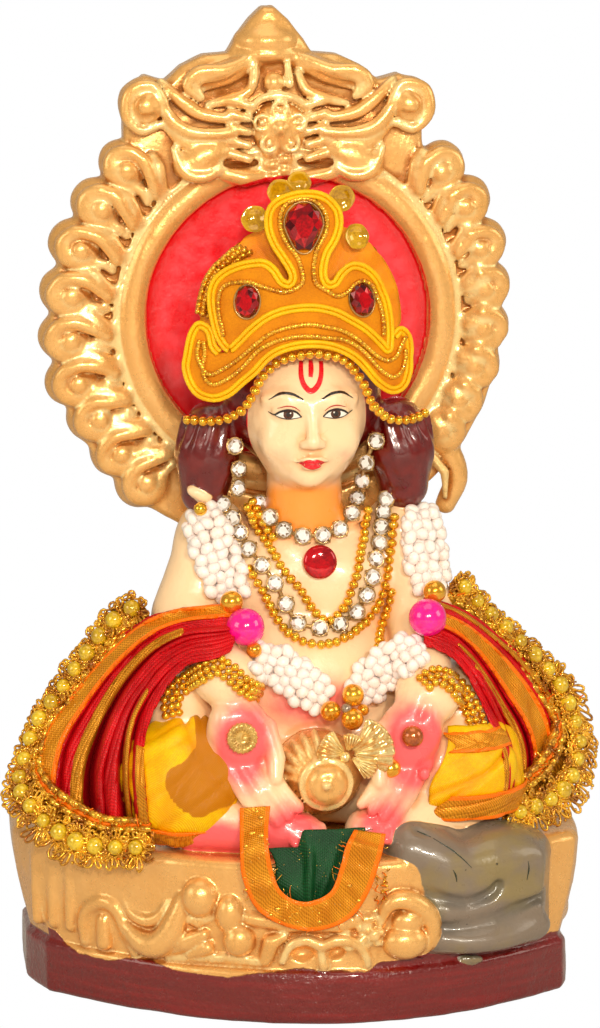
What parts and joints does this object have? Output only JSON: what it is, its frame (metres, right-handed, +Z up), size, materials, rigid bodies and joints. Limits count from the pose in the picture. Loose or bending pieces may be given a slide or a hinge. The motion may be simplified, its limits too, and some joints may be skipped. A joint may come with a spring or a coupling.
{
  "type": "kuber idol",
  "caption": "Small painted plaster idol of a seated deity with a pot, halo and plinth, dressed with a crown, beads, garland, satin shawl and lace.",
  "frame": {"origin": "middle of the plinth's flat underside", "axes": "+Z up, the figure faces -Y, +X to the viewer's right"},
  "size_m": [0.1019, 0.0479, 0.1625],
  "materials": {
    "painted_plaster": "hand-painted plaster under glossy varnish: gold, cream, rose, maroon and grey",
    "orange_satin": "satin weave",
    "crown_felt": "felt",
    "yellow_cord": "twisted rayon cord",
    "gold_thread": "metallic thread",
    "red_gem": "faceted, foil-backed",
    "clear_sequin": "translucent yellow",
    "gold_beads": "metallised",
    "rhinestone": "faceted, in a metal cup",
    "white_beads": "smooth",
    "pink_pearl": "pearl coated",
    "clear_gold_petal": "facetted, metallised",
    "pale_gold": "metallised, fluted",
    "brown_gold_pearl": "pearl coated",
    "yellow_satin": "satin weave",
    "green_glitter_cloth": "with gold glitter",
    "tissue_ribbon": "gold tissue with orange edges",
    "red_satin": "pleated satin"
  },
  "bodies": {
    "root": {"idol_casting": "painted_plaster", "crown_back_satin": "orange_satin", "crown_felt": "crown_felt", "crown_cord": "yellow_cord", "crown_zari_cord": "gold_thread", "crown_gem_top": "red_gem", "crown_gem_left": "red_gem", "crown_gem_right": "red_gem", "crown_sequin_1": "clear_sequin", "crown_sequin_2": "clear_sequin", "crown_sequin_3": "clear_sequin", "crown_sequin_4": "clear_sequin", "crown_sequin_5": "clear_sequin", "brow_bead_string": "gold_beads", "choker_chain": "rhinestone", "long_chain": "rhinestone", "inner_bead_string": "gold_beads", "outer_bead_string": "gold_beads", "chest_gem": "red_gem", "garland_shoulder_left": "white_beads", "garland_shoulder_right": "white_beads", "garland_chest_left": "white_beads", "garland_chest_right": "white_beads", "pink_pearl_left": "pink_pearl", "pink_pearl_right": "pink_pearl", "gold_pearl_left": "gold_beads", "gold_pearl_right": "gold_beads", "gold_pearl_low_left": "gold_beads", "gold_bead_cluster": "gold_beads", "tinsel_bow": "clear_gold_petal", "gold_pearl_bow": "gold_beads", "bracelet_left": "gold_beads", "bracelet_right": "gold_beads", "palm_disc_left": "pale_gold", "palm_pearl_right": "brown_gold_pearl", "knee_cloth_left": "yellow_satin", "knee_cloth_right": "yellow_satin", "apron_cloth": "green_glitter_cloth", "apron_ribbon": "tissue_ribbon", "shawl_left": "red_satin", "shawl_right": "red_satin", "shawl_lace_left": "gold_thread", "shawl_lace_right": "gold_thread"}
  },
  "joints": []
}
